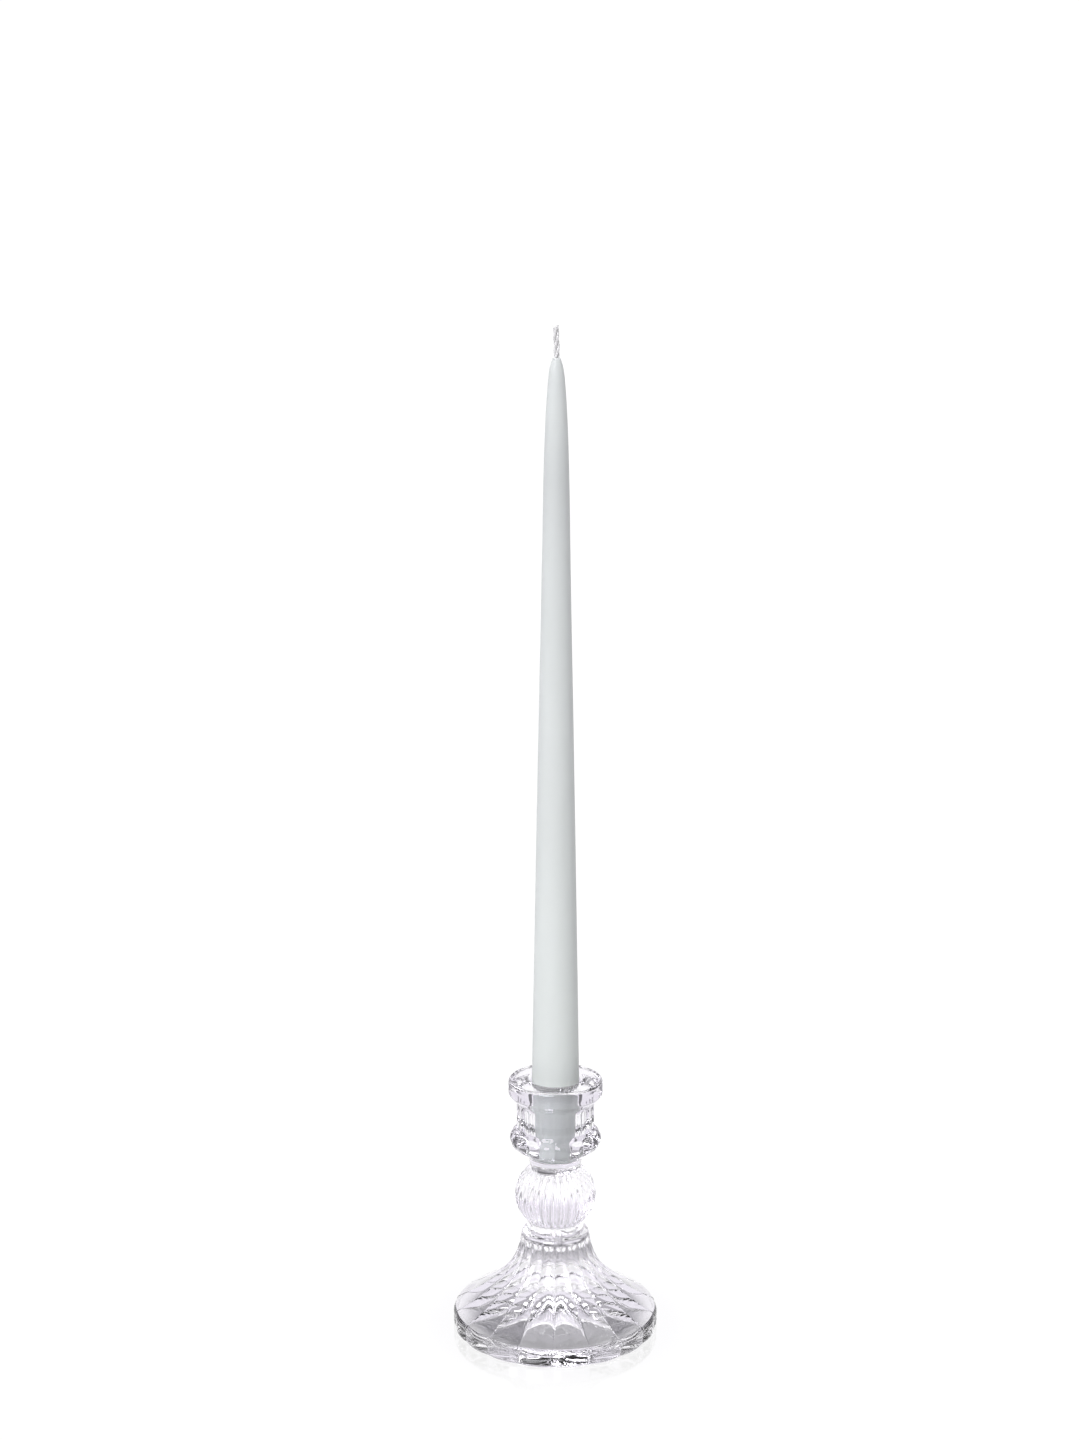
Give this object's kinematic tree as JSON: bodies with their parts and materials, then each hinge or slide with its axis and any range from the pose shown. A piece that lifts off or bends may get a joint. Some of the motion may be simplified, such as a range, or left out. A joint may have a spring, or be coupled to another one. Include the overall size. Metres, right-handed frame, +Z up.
{
  "type": "candlestick",
  "caption": "Pressed-glass candlestick with a fluted foot, a ribbed ball stem and a ring-topped cup, holding a tall tapered candle that lifts out.",
  "frame": {"origin": "centre of the foot's underside, on the surface it stands on", "axes": "+Z up along the candle; -Y is the front, through one ridge of the fluted foot"},
  "size_m": [0.092, 0.0914, 0.4461],
  "materials": {
    "clear_glass": "clear fire-polished pressed glass",
    "coloured_wax": null,
    "core_wax": null,
    "wick_cotton": "waxed cotton ply"
  },
  "bodies": {
    "candlestick": {"glass_candlestick": "clear_glass"},
    "candle": {"candle_core": "core_wax", "candle_overdip": "coloured_wax", "wick_ply_1": "wick_cotton", "wick_ply_2": "wick_cotton", "wick_ply_3": "wick_cotton"}
  },
  "joints": [
    {"name": "candle_lift", "type": "slide", "parent": "candlestick", "child": "candle", "axis": [0, 0, 1], "range_m": [0, 0.06]}
  ]
}
